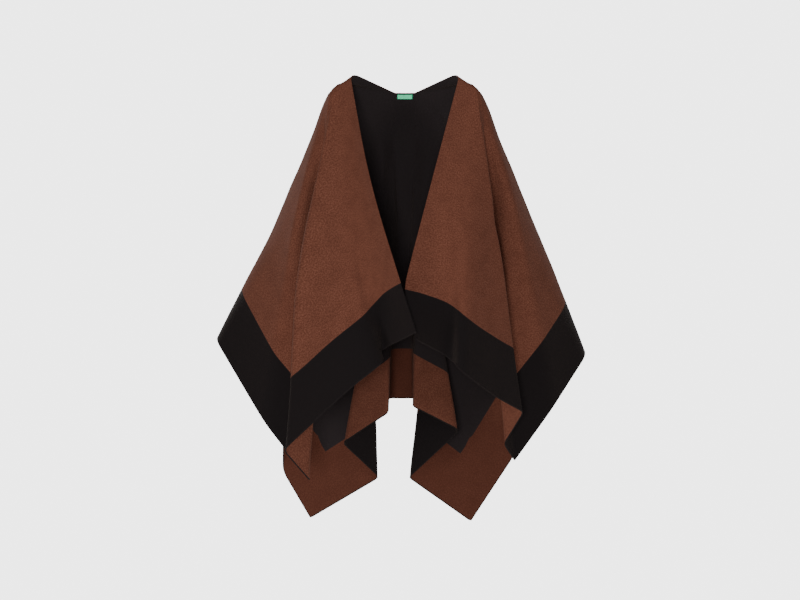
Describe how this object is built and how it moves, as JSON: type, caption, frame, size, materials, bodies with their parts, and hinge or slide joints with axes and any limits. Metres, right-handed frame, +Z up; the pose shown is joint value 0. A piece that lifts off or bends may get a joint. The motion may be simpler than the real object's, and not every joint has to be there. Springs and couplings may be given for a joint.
{
  "type": "cape",
  "caption": "Open-front knit cape cut from one rectangle, hanging as worn with draped side points, dark contrast border and a bare woven neck label.",
  "frame": {"origin": "between the tops of the shoulders, where the wearer holds the cape up", "axes": "+Z up, +X to the wearer's left, -Y to the front of the cape"},
  "size_m": [0.8882, 0.5174, 1.0639],
  "materials": {
    "back_middle": "brushed double-faced knit, brown outside and black inside",
    "back_right": "brushed double-faced knit, brown outside and black inside",
    "back_left": "brushed double-faced knit, brown outside and black inside",
    "back_pleat_right": "brushed double-faced knit, brown outside and black inside",
    "back_pleat_left": "brushed double-faced knit, brown outside and black inside",
    "front_right": "brushed double-faced knit, brown outside and black inside",
    "front_left": "brushed double-faced knit, brown outside and black inside",
    "neck_label": "woven label, bare"
  },
  "bodies": {
    "root": {"back_middle": "back_middle", "back_right": "back_right", "back_left": "back_left", "back_pleat_right": "back_pleat_right", "back_pleat_left": "back_pleat_left", "front_right": "front_right", "front_left": "front_left", "neck_label": "neck_label"}
  },
  "joints": []
}
